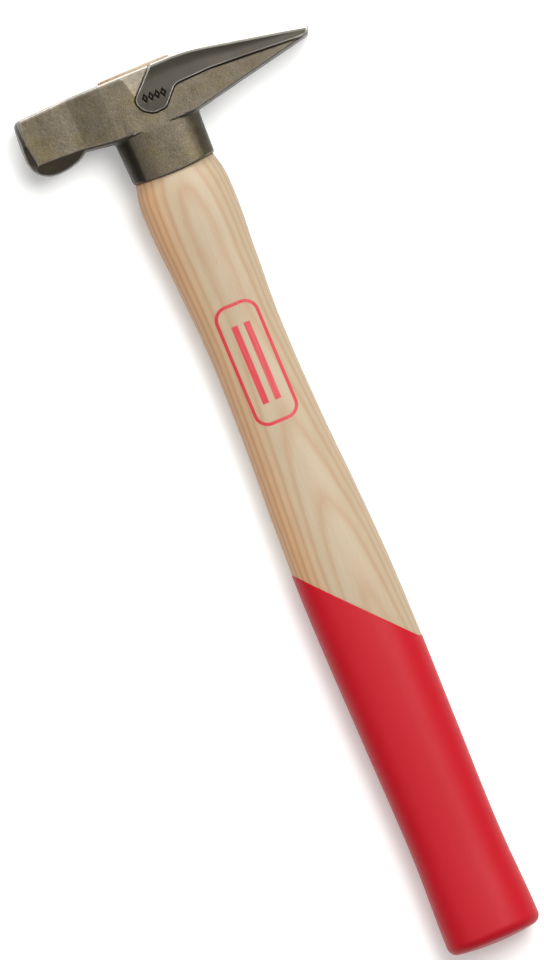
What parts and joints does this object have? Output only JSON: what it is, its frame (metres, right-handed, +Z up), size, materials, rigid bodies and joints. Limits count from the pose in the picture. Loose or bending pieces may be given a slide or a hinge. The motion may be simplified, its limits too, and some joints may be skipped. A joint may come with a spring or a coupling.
{
  "type": "tack hammer",
  "caption": "Small forged cross-peen hammer with a collared head, a raised field on each cheek, a pale wooden handle and a slanted dipped red grip.",
  "frame": {"origin": "Middle of the box's underside, on the surface that the hammer lies on.", "axes": "+Y runs along the handle towards the head. +X runs along the head towards the peen, so the striking face looks to -X. +Z is up, across the head's cheeks, with the hammer lying on its side."},
  "size_m": [0.0948, 0.2884, 0.0222],
  "materials": {
    "forged_steel": "drop-forged steel under clear lacquer",
    "ash": "turned, sanded and waxed ash",
    "wedge_wood": "sawn hardwood end grain",
    "wedge_steel": "plain steel",
    "red_dip": "dipped satin red lacquer"
  },
  "bodies": {
    "root": {"hammer_head": "forged_steel", "handle": "ash", "wooden_wedge": "wedge_wood", "steel_wedge": "wedge_steel", "grip_coat": "red_dip"}
  },
  "joints": []
}
